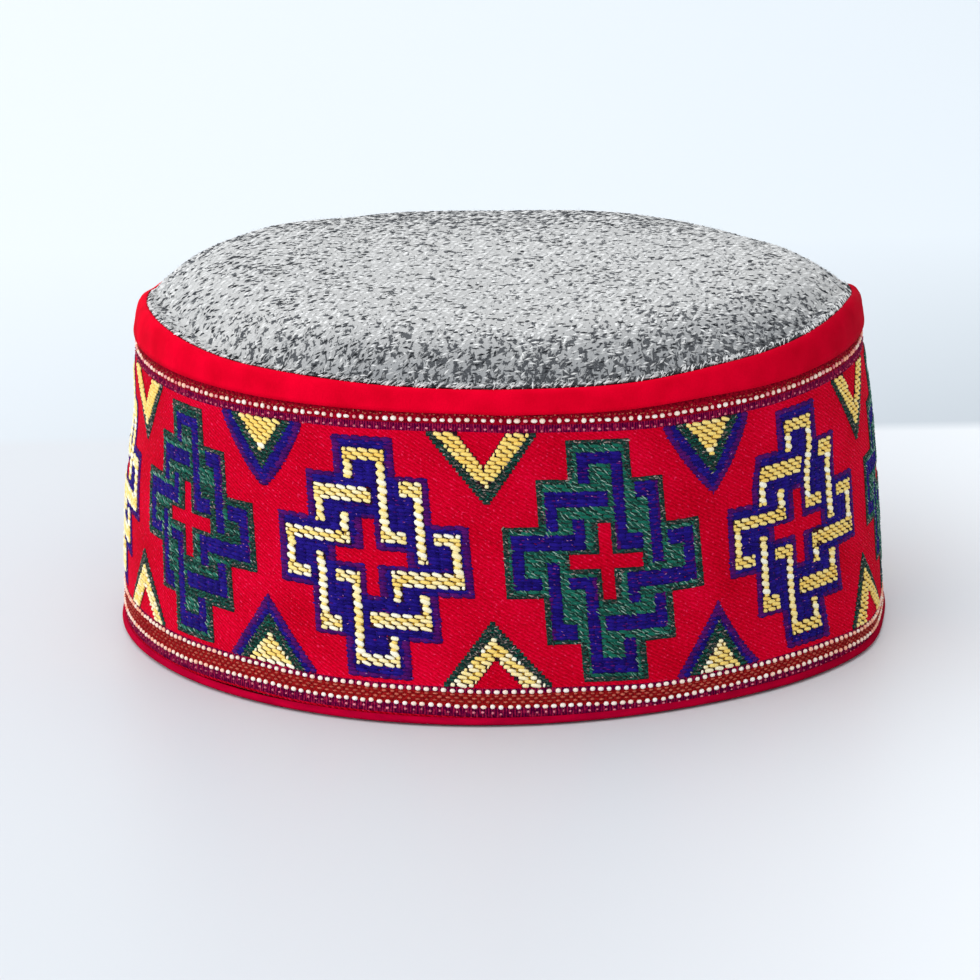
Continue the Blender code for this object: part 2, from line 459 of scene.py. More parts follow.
def side_codes(x, from_border, is_chevron, depth, bulge=1.0):
    """Thread of the figure that grows from a border towards the middle, and where it is."""
    ax = np.abs(x)
    if is_chevron:
        whole = ax / 1.55 + from_border / depth <= 1.0
        yellow = ax / 1.37 + from_border / (depth - 0.38) <= 1.0
        bare = ax / 0.72 + from_border / (depth - 0.92) <= 1.0
        return np.where(bare, GROUND, np.where(yellow, YELLOW, GREY)), whole
    whole = (ax / 1.55) ** bulge + (from_border / depth) ** bulge <= 1.0
    green = ax / 1.17 + from_border / (depth - 0.44) <= 1.0
    yellow = (ax / 0.86 + from_border / (depth - 0.92) <= 1.0) & (from_border < depth - 1.02)
    yellow |= (ax < 0.1) & (from_border < depth - 0.93)
    return np.where(yellow, YELLOW, np.where(green, MOSS, NAVY)), whole


def unpulled(s, b):
    """Where a point of the strip lay along the cloth before the sides were pulled round."""
    deg = np.degrees(s / STRIP_RADIUS)
    pulled = 3.2 * smooth((-53.0 - deg) / 11.0) * smooth((deg + 125.0) / 35.0)
    drawn_back = 2.6 * smooth((s - 50.0) / 9.0) * smooth((108.0 - s) / 26.0)
    return s - pulled + drawn_back * (1.0 - 0.75 * smooth((b - 48.0) / 10.0))


def chart(s, b):
    """Thread that lies on the strip at s along one row of height b."""
    s = unpulled(s, b)
    codes = np.zeros(s.shape, int)
    below = MOTIF_HEIGHT - b

    def units_from(centre):
        """How far each s lies from a figure's upright middle line, in units."""
        return (s - centre * (1.0 - SPREAD * below) - LEAN * below) / UNIT_X

    def units_up(height):
        """The same height for the whole row, in units."""
        return np.full(s.shape, height / UNIT_Y)

    for k, (centre, is_yellow) in enumerate(MOTIFS):
        figures = []
        if 0 < k < len(MOTIFS) - 1:
            figures.append(motif_codes(units_from(centre), units_up(b - MOTIF_HEIGHT), is_yellow))
        if k + 1 < len(MOTIFS):
            x = units_from(0.5 * (centre + MOTIFS[k + 1][0]))
            upper_x = (x - 0.1) / 1.06 if is_yellow else x
            lower_x = x + (0.02 if is_yellow else 0.12)
            lower = 1.66 if is_yellow else 1.73
            figures.append(side_codes(upper_x, units_up(FIELD[1] - b), is_yellow, 1.79, 1.2))
            figures.append(side_codes(lower_x, units_up(b - FIELD[0]), is_yellow, lower))
        for found, where in figures:
            codes = np.where(where, found, codes)
    return codes


def runs_of(codes):
    """(first, last + 1, code) of each run of equal codes along a row."""
    edges = np.flatnonzero(np.diff(codes)) + 1
    starts = np.concatenate([[0], edges])
    ends = np.concatenate([edges, [len(codes)]])
    return [(int(a), int(z), int(codes[a])) for a, z in zip(starts, ends)]


def ties_in(start, end, first_tie, period):
    """Places where a run of thread is tied down."""
    first = math.ceil((start - first_tie) / period)
    last = math.floor((end - first_tie) / period)
    ties = [first_tie + period * k for k in range(first, last + 1)]
    return [at for at in ties if start + 0.35 < at < end - 0.35]


def cut_at_ties(start, end, first_tie, period, gap):
    """Starts and ends of one run's floats between the ties that hold it down."""
    ties = ties_in(start, end, first_tie, period)
    starts = [start] + [at + 0.5 * gap for at in ties]
    ends = [at - 0.5 * gap for at in ties] + [end]
    return list(zip(starts, ends))


# How the floats are laid
CHART_STEP = 0.1
WIDEST_UPRIGHT = 3.6
LONGEST_UNDERLAY = 2.9
YELLOW_GAP = 0.36
GREEN_GAP = 0.25
MINT_STEP = 1.15
FLECK_STEP = 0.42
DARK_STEP = 0.9
PINK_SHARE = 0.06
GREYNESS = {GREEN: 0.2, MOSS: 0.45, GREY: 0.7}
WEATHERED_FROM = -60.0


def outlined(charted):
    """The charted rows, with the floats next to the red ground in a figure's outline thread."""
    bare = np.pad(charted == GROUND, ((1, 1), (0, 0)), constant_values=False)
    result = charted.copy()
    for row, codes in enumerate(charted):
        above_or_below = bare[row] | bare[row + 2]
        for code, edge, wide in ((NAVY, PURPLE, 1.7), (GREEN, GREY, 1.2)):
            reach = int(round(wide * RANDOM.uniform(0.75, 1.25) / CHART_STEP))
            beside = np.roll(bare[row + 1], reach) | np.roll(bare[row + 1], -reach)
            result[row, (codes == code) & (above_or_below | beside)] = edge
    return result


def woven_floats():
    """Every float of the field: by thread, a list of (s, b, length, tone, width)."""
    floats = {code: [] for code in range(YELLOW, SPECK + 1)}

    def lay(thread, start, end, b, tone, width):
        floats[thread].append((0.5 * (start + end), b, end - start, tone, width))

    def lay_about(thread, middle, length, b, tone, width):
        lay(thread, middle - 0.5 * length, middle + 0.5 * length, b, tone, width)

    def lay_beneath(thread, start, end, b):
        """Short floats end to end, so that they follow the round of the cap."""
        stops = np.linspace(start, end, max(2, math.ceil((end - start) / LONGEST_UNDERLAY) + 1))
        for c, d in zip(stops[:-1], stops[1:]):
            lay(thread, c - 0.12, d + 0.12, b, RANDOM.uniform(0.1, 0.6), 1.5)

    half_round = math.pi * STRIP_RADIUS
    s = np.arange(-half_round + 0.3, half_round - 0.3, CHART_STEP)
    row_count = int(round((FIELD[1] - FIELD[0]) / ROW))
    heights = [FIELD[1] - ROW * (row + 0.5) for row in range(row_count)]
    all_codes = outlined(np.stack([chart(s, b) for b in heights]))
    is_yellow = np.pad(all_codes == YELLOW, ((1, 1), (0, 0)))
    within = is_yellow[:-2] & is_yellow[2:]

    def inside(row, start, end):
        """Whether the rows above and below are yellow too."""
        first = int(np.clip((start - s[0]) / CHART_STEP, 0, len(s) - 2))
        last = int(np.clip((end - s[0]) / CHART_STEP, first + 1, len(s) - 1))
        return within[row, first:last].mean() > 0.5

    def yellow_run(row, left, right, b, upright):
        """Yellow floats over the tie thread, whose dark tone round them is painted shade and whose olive tone
        shows at the ties.
        """
        # The dark tie thread runs under the floats and past each end: painted shade at the stroke's edges and
        # in the outline's gaps.
        at = left - 0.22
        for tie in ties_in(left, right, TIE_SHIFT * row, TIE_PERIOD):
            if inside(row, tie - 0.3, tie + 0.3):
                lay(SHADE, at, tie - 0.4, b, 0.0, 1.3)
                lay(SHADE, tie - 0.4, tie + 0.4, b, RANDOM.uniform(0.6, 1.0), 1.2)
                at = tie + 0.4
        lay(SHADE, at, right + 0.22, b, 0.0, 1.3)
        if upright and inside(row, left, right):
            middle = 0.5 * (left + right) + RANDOM.normal(0.0, 0.12)
            length = right - left
            if row % 2:
                lay_about(BEAD, middle, length, b, RANDOM.uniform(0.5, 1.0), 1.55)
            else:
                lay_about(YELLOW, middle, 0.55 * length, b, RANDOM.uniform(0.2, 0.6), 0.9)
            return
        for c, d in cut_at_ties(left, right, TIE_SHIFT * row, TIE_PERIOD, YELLOW_GAP):
            # Outline floats run creamer than those inside: the cream is partly painted highlight, partly the
            # yarn's own paler tone.
            tone = RANDOM.uniform(0.45, 0.85) if upright else RANDOM.uniform(0.55, 0.95)
            if not upright and inside(row, c, d):
                tone = RANDOM.uniform(0.25, 0.7)
            # Painted shade: towards the right the floats turn golden, where the band turns away from the
            # light; the upper figures are more golden as well.
            tone *= 1.0 - 0.45 * max(smooth((c - 45.0) / 20.0), smooth((b - 52.0) / 8.0))
            if d - c > 0.4:
                lay(YELLOW, c, d, b, tone, 1.06)

    def green_run(row, left, right, b):
        """Long green floats with short mint ones slanting over them."""
        for c, d in cut_at_ties(left, right, TIE_SHIFT * row, TIE_PERIOD, GREEN_GAP):
            lay(GREEN, c, d, b, RANDOM.uniform(0.0, 1.0), 1.02)
        for at in np.arange(left + RANDOM.uniform(0.0, 1.0), right, MINT_STEP):
            length = RANDOM.uniform(0.8, 1.7)
            middle = at + RANDOM.normal(0.0, 0.2)
            high = b + RANDOM.uniform(-0.4, 0.4)
            lay_about(MINT, middle, length, high, RANDOM.uniform(0.0, 1.0), 0.3)

    def flecked_run(code, left, right, b):
        """Short green and grey flecks, mixed by the thread's own share of grey."""
        for at in np.arange(left + RANDOM.uniform(0.0, 0.4), right, FLECK_STEP):
            length = RANDOM.uniform(0.4, 1.0)
            high = b + RANDOM.uniform(-0.42, 0.42)
            over = GREY if RANDOM.uniform() < GREYNESS[code] else GREEN
            lay_about(over, at, length, high, 0.8 * RANDOM.uniform() ** 1.5, 0.42)

    def dark_run(code, left, right, b, share):
        """Navy or purple floats, a share of them in the other thread, with a pink speck here and there."""
        for at in np.arange(left + RANDOM.uniform(0.0, 0.6), right, DARK_STEP):
            length = RANDOM.uniform(0.7, 1.3)
            other = PURPLE if code == NAVY else NAVY
            over = other if RANDOM.uniform() < share else code
            high = b + RANDOM.uniform(-0.4, 0.4)
            tone = RANDOM.uniform(0.1, 1.0)
            lay_about(over, at, length, high, tone, RANDOM.uniform(0.4, 0.7))
            if RANDOM.uniform() < PINK_SHARE:
                lay(SPECK, at, at + RANDOM.uniform(0.3, 0.5), high, RANDOM.uniform(0.0, 0.8), 0.28)

    for row, b in enumerate(heights):
        codes = all_codes[row]
        for start, end, code in runs_of(codes):
            if code == GROUND:
                continue
            left, right = s[start] - 0.05, s[end - 1] + 0.05
            upright = right - left < WIDEST_UPRIGHT
            if code == YELLOW:
                yellow_run(row, left, right, b, upright)
                continue
            lay_beneath(code if code in (NAVY, PURPLE) else DEEP, left, right, b)
            weathered = left < WEATHERED_FROM and code == GREEN and RANDOM.uniform() < 0.6
            if code == GREEN and not weathered:
                green_run(row, left, right, b)
            elif code in (GREEN, MOSS, GREY):
                flecked_run(code, left, right, b)
            else:
                in_green = codes[max(start - 1, 0)] in (GREEN, GREY)
                if code == PURPLE:
                    share = 0.4
                elif in_green:
                    share = 0.45 if upright else 0.2
                    share += 0.35 * bell(0.5 * (left + right), 28.0, 16.0)
                else:
                    share = 0.12
                dark_run(code, left, right, b, share)
    return floats


def grain(name, sections, sides):
    """A short float of thread, flat underneath: 1 long, 1 wide and 1 high, to be scaled."""
    bm = bmesh.new()
    rings = []
    for along, size in sections:
        ring = []
        for k in range(sides + 1):
            turn = math.pi * k / sides
            ring.append(bm.verts.new((along, 0.5 * size * math.cos(turn), size * math.sin(turn) - 0.35)))
        rings.append(ring)
    for ring, following in zip(rings, rings[1:]):
        for k in range(sides + 1):
            after = (k + 1) % (sides + 1)
            bm.faces.new((ring[k], ring[after], following[after], following[k]))
    bm.faces.new(rings[0][::-1])
    bm.faces.new(rings[-1])
    bmesh.ops.recalc_face_normals(bm, faces=bm.faces)
    mesh = bpy.data.meshes.new(name)
    bm.to_mesh(mesh)
    bm.free()
    mesh.shade_smooth()
    return placed(name, mesh)


def thread_group():
    """Geometry Nodes: one float on each point, turned and sized by the point's own values."""
    group = bpy.data.node_groups.new("thread_floats", "GeometryNodeTree")
    for title, kind in (("Points", "Geometry"), ("Float", "Object"), ("Yarn", "Material")):
        group.interface.new_socket(title, in_out="INPUT", socket_type="NodeSocket" + kind)
    group.interface.new_socket("Threads", in_out="OUTPUT", socket_type="NodeSocketGeometry")

    def named(name):
        kind = "GeometryNodeInputNamedAttribute"
        return node(group, kind, {"Name": name}, data_type="FLOAT_VECTOR").outputs["Attribute"]

    given = node(group, "NodeGroupInput").outputs
    shape = node(group, "GeometryNodeObjectInfo", {"Object": given["Float"]})
    rotation = node(group, "FunctionNodeEulerToRotation", {"Euler": named("turn")})
    placing = {
        "Points": given["Points"],
        "Instance": shape.outputs["Geometry"],
        "Rotation": rotation.outputs["Rotation"],
        "Scale": named("size"),
    }
    laid = node(group, "GeometryNodeInstanceOnPoints", placing)
    real = node(group, "GeometryNodeRealizeInstances", {"Geometry": laid.outputs["Instances"]})
    dyeing = {"Geometry": real.outputs["Geometry"], "Material": given["Yarn"]}
    dyed = node(group, "GeometryNodeSetMaterial", dyeing)
    node(group, "NodeGroupOutput", {"Threads": dyed.outputs["Geometry"]})
    return group


def threads(name, group, shape, points, turns, sizes, tones, yarn):
    """Lay one float at each point and keep the result as a plain mesh."""
    mesh = bpy.data.meshes.new(name + "_points")
    mesh.from_pydata([tuple(p) for p in points], [], [])
    keep_values(mesh, "turn", "FLOAT_VECTOR", turns)
    keep_values(mesh, "size", "FLOAT_VECTOR", sizes)
    keep_values(mesh, "tone", "FLOAT", tones)
    guide = placed(name + "_points", mesh)
    laid = guide.modifiers.new("Lay", "NODES")
    laid.node_group = group
    for item in group.interface.items_tree:
        if item.name == "Float":
            laid[item.identifier] = shape
        if item.name == "Yarn":
            laid[item.identifier] = yarn
    evaluated = guide.evaluated_get(bpy.context.evaluated_depsgraph_get())
    made = bpy.data.meshes.new_from_object(evaluated)
    made.name = name
    bpy.data.objects.remove(guide, do_unlink=True)
    for key in ("turn", "size"):
        if key in made.attributes:
            made.attributes.remove(made.attributes[key])
    return placed(name, made)


def on_strip(s, b, outwards):
    """Points on the woven strip and the turns that lay a float along the weave there."""
    points = strip_points(s, b, outwards)
    ahead = strip_points(s + 0.5, b, outwards)
    above = strip_points(s, b + 0.5, outwards)
    angle = s / STRIP_RADIUS
    slope = np.arctan2(ahead[:, 2] - points[:, 2], np.linalg.norm((ahead - points)[:, :2], axis=1))
    out_up = np.linalg.norm(above[:, :2], axis=1) - np.linalg.norm(points[:, :2], axis=1)
    lean = np.arctan2(-out_up, above[:, 2] - points[:, 2])
    turns = np.stack([0.5 * np.pi - lean, -slope, angle], axis=1)
    return points, turns


def turns_along(ahead, beside):
    """Turns that lay a float along one direction, its flat side away from the outward face, and that face."""
    along = ahead / np.linalg.norm(ahead, axis=1)[:, None]
    out = np.cross(along, beside)
    out = out / np.linalg.norm(out, axis=1)[:, None]
    out = np.where(out[:, 2:] < 0.0, -out, out)
    across = np.cross(out, along)
    turns = [
        np.arctan2(across[:, 2], out[:, 2]),
        -np.arcsin(along[:, 2]),
        np.arctan2(along[:, 1], along[:, 0]),
    ]
    return np.stack(turns, axis=1), out


def crown_yarns():
    """Short yarn floats of the tweed over the crown: points, turns and sizes.

    With them comes how far out towards the rim each one lies, from 0 to 1.
    """
    row, step = 0.82, 2.05
    slant = math.radians(24.0)
    reach = 92.0
    v = np.arange(-reach, reach, row)
    u = np.arange(-reach, reach, step)
    uu, vv = np.meshgrid(u, v)
    uu = uu + (np.arange(len(v)) % 3)[:, None] * step / 3.0
    uu = (uu + RANDOM.normal(0.0, 0.22, uu.shape)).ravel()
    vv = (vv + RANDOM.normal(0.0, 0.10, uu.reshape(len(v), -1).shape)).ravel()
    x = uu * math.cos(slant) - vv * math.sin(slant)
    y = uu * math.sin(slant) + vv * math.cos(slant)
    radius = np.hypot(x, y)
    kept = radius < crown_reach(np.degrees(np.arctan2(x, -y))) - 0.15
    x, y, radius = x[kept], y[kept], radius[kept]

    def surface(px, py):
        r = np.maximum(np.hypot(px, py), 1e-6)
        angle = np.degrees(np.arctan2(px, -py))
        return settled(angle, r, crown_height(angle, r), CROWN)

    here = surface(x, y)
    rise = smooth((radius - 66.0) / 15.0)
    turn = slant + RANDOM.normal(0.0, 0.45, len(x))
    ahead = surface(x + 0.3 * np.cos(turn), y + 0.3 * np.sin(turn)) - here
    beside = surface(x - 0.3 * np.sin(turn), y + 0.3 * np.cos(turn)) - here
    turns, out = turns_along(ahead, beside)
    sizes = np.stack([
        RANDOM.uniform(1.1, 2.2, len(x)),
        RANDOM.uniform(0.5, 0.8, len(x)) + 0.4 * (1.0 - rise),
        RANDOM.uniform(0.10, 0.20, len(x)) + RANDOM.uniform(0.2, 0.6, len(x)) * rise,
    ], axis=1) * MM
    return (here + out * 0.04 * MM, turns, sizes), rise


def edge_strands(count):
    """Yarn ends that hang from the crown's lip over the strip: points, turns and sizes."""
    angle = RANDOM.uniform(-180.0, 180.0, count)
    radius = crown_reach(angle) - RANDOM.uniform(0.0, 0.9, count)
    here = settled(angle, radius, crown_height(angle, radius), CROWN)
    turn = np.radians(angle)
    outward = np.stack([np.sin(turn), -np.cos(turn), 0.0 * turn], axis=1)
    round_rim = np.stack([np.cos(turn), np.sin(turn), 0.0 * turn], axis=1)
    down = np.array([0.0, 0.0, -1.0])
    along = RANDOM.normal(0.7, 0.35, (count, 1)) * -round_rim + 0.45 * outward
    along = along + RANDOM.uniform(0.1, 0.7, (count, 1)) * down
    turns, out = turns_along(along, round_rim)
    sizes = np.stack([
        RANDOM.uniform(1.4, 2.6, count),
        RANDOM.uniform(0.35, 0.6, count),
        RANDOM.uniform(0.25, 0.4, count),
    ], axis=1) * MM
    return here + out * 0.1 * MM, turns, sizes


def fuzz_fibres(count):
    """Short fibres that stand out of the crown: points, turns and sizes."""
    angle = RANDOM.uniform(-180.0, 180.0, count)
    edge = CROWN_RADIUS
    radius = edge * (1.0 - RANDOM.uniform(0.0, 1.0, count) ** 2 * 0.7)
    here = settled(angle, radius, crown_height(angle, radius), CROWN)
    turn = np.radians(angle)
    lean = RANDOM.normal(0.0, 0.6, (count, 3))
    steep = (radius / edge) ** 6
    out = np.stack([np.sin(turn) * steep, -np.cos(turn) * steep, 1.0 + 0.0 * turn], axis=1) + lean
    out = out / np.linalg.norm(out, axis=1)[:, None]
    turns = np.stack([0.0 * turn, -np.arcsin(out[:, 2]), np.arctan2(out[:, 1], out[:, 0])], axis=1)
    length = RANDOM.uniform(0.5, 1.3, count)
    sizes = np.stack([length, np.full(count, 0.05), np.full(count, 0.05)], axis=1) * MM
    return here + out * (0.3 * length * MM)[:, None], turns, sizes


def field_threads(name, group, shape, rows, height, outwards, yarn, tilt, loose):
    """One thread's floats of the woven field, each a little out of line as a loom lays them."""
    rows = np.array(rows)
    s = rows[:, 0]
    b = rows[:, 1] + RANDOM.normal(0.0, 0.02, len(rows))
    points, turns = on_strip(s, b, outwards)
    turns[:, 1] += RANDOM.normal(tilt, loose, len(rows))
    sizes = np.stack([
        rows[:, 2],
        rows[:, 4] * RANDOM.uniform(0.94, 1.06, len(rows)),
        height * RANDOM.uniform(0.85, 1.15, len(rows)),
    ], axis=1) * MM
    return threads(name, group, shape, points, turns, sizes, rows[:, 3], yarn)


# Materials

def maths(tree, operation, a, b=0.0, c=0.0):
    """A sum, product or the like of values, as a Math node works it out."""
    return node(tree, "ShaderNodeMath", {0: a, 1: b, 2: c}, operation=operation).outputs[0]


def span(tree, value, low, high, to_low=0.0, to_high=1.0):
    """How far a value has come from low to high, kept between the two."""
    limits = {"Value": value, "From Min": low, "From Max": high, "To Min": to_low, "To Max": to_high}
    return node(tree, "ShaderNodeMapRange", limits).outputs[0]


def ramp(tree, factor, stops):
    """Colour by a value, from (place, colour) stops."""
    made = node(tree, "ShaderNodeValToRGB", {"Fac": factor})
    elements = made.color_ramp.elements
    while len(elements) < len(stops):
        elements.new(0.5)
    for element, (at, colour) in zip(elements, stops):
        element.position = at
        element.color = colour
    return made.outputs["Color"]


def mixed(tree, factor, a, b):
    """A colour between a and b."""
    made = node(tree, "ShaderNodeMix", data_type="RGBA", clamp_factor=True)
    for at, value in ((0, factor), (6, a), (7, b)):
        if isinstance(value, bpy.types.NodeSocket):
            tree.links.new(value, made.inputs[at])
        else:
            made.inputs[at].default_value = value
    return made.outputs[2]


def srgb(red, green, blue):
    """A colour from its 0 to 255 values, as the shader needs it."""
    def linear(value):
        value = value / 255.0
        return value / 12.92 if value <= 0.04045 else ((value + 0.055) / 1.055) ** 2.4
    return (linear(red), linear(green), linear(blue), 1.0)


def new_material(name):
    made = bpy.data.materials.new(name)
    made.use_nodes = True
    return made, made.node_tree, made.node_tree.nodes["Principled BSDF"]


def flat_chart(tree):
    """The cloth's own flat coordinates in millimetres: across, up, and both as a vector."""
    chart_node = node(tree, "ShaderNodeUVMap", uv_map="cloth")
    scaling = {0: chart_node.outputs[0], "Scale": 1.0 / MM}
    scaled = node(tree, "ShaderNodeVectorMath", scaling, operation="SCALE")
    parts = node(tree, "ShaderNodeSeparateXYZ", {0: scaled.outputs[0]})
    return parts.outputs[0], parts.outputs[1], scaled.outputs[0]


def stretched(tree, vector, scale):
    return node(tree, "ShaderNodeMapping", {"Vector": vector, "Scale": scale}).outputs[0]


def noise(tree, vector, scale, detail=2.0, roughness=0.5):
    values = {"Vector": vector, "Scale": scale, "Detail": detail, "Roughness": roughness}
    return node(tree, "ShaderNodeTexNoise", values).outputs["Fac"]


def bump(tree, height, strength, distance):
    values = {"Height": height, "Strength": strength, "Distance": distance}
    return node(tree, "ShaderNodeBump", values).outputs[0]


def cloth_shader(shader, roughness, specular, sheen=0.0, sheen_roughness=0.5):
    """How a cloth or a thread takes the light."""
    shader.inputs["Roughness"].default_value = roughness
    shader.inputs["Specular IOR Level"].default_value = specular
    shader.inputs["Sheen Weight"].default_value = sheen
    shader.inputs["Sheen Roughness"].default_value = sheen_roughness


def shader_group(name, inputs, outputs):
    """An empty shader node group, with its inputs' and its outputs' sockets."""
    group = bpy.data.node_groups.new(name, "ShaderNodeTree")
    for title, kind in inputs.items():
        group.interface.new_socket(title, in_out="INPUT", socket_type="NodeSocket" + kind)
    for title, kind in outputs.items():
        group.interface.new_socket(title, in_out="OUTPUT", socket_type="NodeSocket" + kind)
    return group, group.nodes.new("NodeGroupInput").outputs, group.nodes.new("NodeGroupOutput").inputs


def tweed_group():
    """Grey tweed with charcoal blotches and thin dark twists, on a cloth's flat place in millimetres.

    A lower cover gives more charcoal. Edge shade paints shade on the front of the edge, where the light tone
    turns mid grey, and gives more charcoal there and at the back.
    """
    tree, given, result = shader_group(
        "tweed_flecks",
        {"Place": "Vector", "Cover": "Float", "Low": "Color", "High": "Color", "Edge Shade": "Float"},
        {"Colour": "Color", "Height": "Float"},
    )
    place, cover, edge_shade = given["Place"], given["Cover"], given["Edge Shade"]
    across, up, _ = node(tree, "ShaderNodeSeparateXYZ", {0: place}).outputs
    drift = noise(tree, place, 0.05, 3.0)
    blot = noise(tree, stretched(tree, place, (0.66, 0.30, 1.0)), 1.0, 3.0, 0.65)
    out = node(tree, "ShaderNodeVectorMath", {0: place}, operation="LENGTH").outputs["Value"]
    front = span(tree, maths(tree, "MULTIPLY_ADD", across, -0.3, up), -32.0, -72.0)
    edge = maths(tree, "MULTIPLY", span(tree, out, 62.0, 85.0), front)
    behind = span(tree, up, 15.0, 60.0)
    darker = maths(tree, "MULTIPLY", maths(tree, "MAXIMUM", edge, behind), edge_shade)
    level = maths(tree, "MULTIPLY_ADD", maths(tree, "SUBTRACT", drift, 0.5), -0.2, cover)
    level = maths(tree, "SUBTRACT", level, maths(tree, "MULTIPLY", darker, 0.10))
    blotch = span(tree, maths(tree, "SUBTRACT", blot, level), -0.004, 0.014)
    bend = noise(tree, stretched(tree, place, (0.50, 0.24, 1.0)), 1.0, 2.0, 0.5)
    twist = maths(tree, "ABSOLUTE", maths(tree, "SUBTRACT", bend, 0.5))
    broken = noise(tree, stretched(tree, place, (0.42, 0.20, 1.0)), 1.3, 2.0, 0.6)
    twist = maths(tree, "ADD", twist, maths(tree, "MULTIPLY", maths(tree, "SUBTRACT", level, broken), 0.9))
    fleck = maths(tree, "MAXIMUM", blotch, span(tree, twist, 0.035, 0.015))
    fibre = noise(tree, stretched(tree, place, (1.1, 1.6, 1.0)), 2.2, 3.0, 0.6)
    share = maths(tree, "MULTIPLY_ADD", drift, 0.3, fibre)
    light = mixed(tree, span(tree, share, 0.45, 0.85), given["Low"], given["High"])
    # Painted shade: the light tone turns mid grey towards the front of the edge, where the crown bends down
    # out of the light.
    light = mixed(tree, maths(tree, "MULTIPLY", edge, edge_shade), light, srgb(134, 136, 139))
    dark = ramp(tree, fibre, [(0.35, srgb(36, 38, 42)), (0.65, srgb(86, 88, 92))])
    tree.links.new(mixed(tree, fleck, light, dark), result["Colour"])
    tree.links.new(maths(tree, "MULTIPLY_ADD", fleck, -0.6, fibre), result["Height"])
    return tree


def tweed_material(name, cover, low, high, edge_shade=0.0):
    """Grey tweed cloth whose light tone lies between low and high."""
    made, tree, shader = new_material(name)
    place = flat_chart(tree)[2]
    values = {"Place": place, "Cover": cover, "Low": low, "High": high, "Edge Shade": edge_shade}
    flecks = node(tree, "ShaderNodeGroup", values, node_tree=TWEED_FLECKS).outputs
    tree.links.new(flecks["Colour"], shader.inputs["Base Color"])
    cloth_shader(shader, 0.95, 0.15, 0.2, 0.6)
    tree.links.new(bump(tree, flecks["Height"], 0.6, 0.0004), shader.inputs["Normal"])
    return made


def ground_material():
    """The woven strip's red twill with painted pink highlights, and its dark borders."""
    made, tree, shader = new_material("red_twill_ground")
    across, up, place = flat_chart(tree)
    line = maths(tree, "MULTIPLY_ADD", across, 0.5, maths(tree, "MULTIPLY", up, 0.87))
    warp = noise(tree, place, 0.6, 2.0)
    line = maths(tree, "MULTIPLY_ADD", warp, 0.9, line)
    twill = maths(tree, "SINE", maths(tree, "MULTIPLY", line, 2.0 * math.pi / 0.78))
    tick = maths(tree, "SINE", maths(tree, "MULTIPLY", across, 2.0 * math.pi / 0.65))
    drift = noise(tree, place, 0.05, 2.0)
    grains = noise(tree, place, 1.3, 2.0)
    uneven = maths(tree, "MULTIPLY_ADD", grains, 0.5, maths(tree, "MULTIPLY", drift, 0.5))
    tone = maths(tree, "MULTIPLY_ADD", twill, 0.09, uneven)
    red = ramp(tree, tone, [(0.3, srgb(174, 0, 22)), (0.52, srgb(214, 0, 36)), (0.72, srgb(238, 4, 56))])
    # Painted highlights: pink glints along the twill.
    glint = noise(tree, stretched(tree, place, (1.0, 0.8, 1.0)), 1.35, 1.0)
    spark = span(tree, maths(tree, "MULTIPLY_ADD", twill, 0.07, glint), 0.66, 0.76)
    red = mixed(tree, maths(tree, "MULTIPLY", spark, 0.7), red, srgb(255, 50, 100))
    speck = noise(tree, stretched(tree, place, (1.6, 0.8, 1.0)), 1.0, 2.0)
    stripe = maths(tree, "MULTIPLY_ADD", tick, 0.12, speck)
    stops = [(0.36, srgb(72, 0, 44)), (0.55, srgb(122, 4, 58)), (0.68, srgb(172, 34, 72))]
    maroon = ramp(tree, stripe, stops)
    rust = ramp(tree, noise(tree, place, 1.6, 1.0), [(0.35, srgb(118, 8, 16)), (0.65, srgb(168, 26, 28))])
    brown = ramp(tree, noise(tree, place, 1.2, 1.0), [(0.35, srgb(116, 0, 22)), (0.65, srgb(170, 10, 36))])
    borders = (
        # lower edge, upper edge, colour; a later one lies over an earlier one
        (68.2, 71.3, maroon),
        (70.0, 76.0, brown),
        (7.0, 8.5, maroon),
        (3.4, 7.3, rust),
        (1.6, 4.0, maroon),
    )
    for low, high, border in borders:
        above = maths(tree, "GREATER_THAN", up, low)
        within = maths(tree, "MULTIPLY", above, maths(tree, "LESS_THAN", up, high))
        red = mixed(tree, within, red, border)
    tree.links.new(red, shader.inputs["Base Color"])
    cloth_shader(shader, 0.85, 0.02)
    relief = maths(tree, "MULTIPLY_ADD", spark, 0.5, twill)
    tree.links.new(bump(tree, relief, 0.6, 0.0002), shader.inputs["Normal"])
    return made


def strip_group():
    """A very fine plain weave with soft uneven places."""
    tree, given, result = shader_group(
        "plain_weave",
        {"Place": "Vector", "Deep": "Color", "Bright": "Color"},
        {"Colour": "Color", "Height": "Float"},
    )
    soft = noise(tree, stretched(tree, given["Place"], (0.12, 0.5, 1.0)), 1.0, 3.0)
    fine = noise(tree, stretched(tree, given["Place"], (3.0, 3.0, 1.0)), 1.0, 2.0)
    tone = span(tree, maths(tree, "MULTIPLY_ADD", fine, 0.25, soft), 0.4, 0.8)
    tree.links.new(mixed(tree, tone, given["Deep"], given["Bright"]), result["Colour"])
    tree.links.new(maths(tree, "MULTIPLY_ADD", fine, 0.12, soft), result["Height"])
    return tree


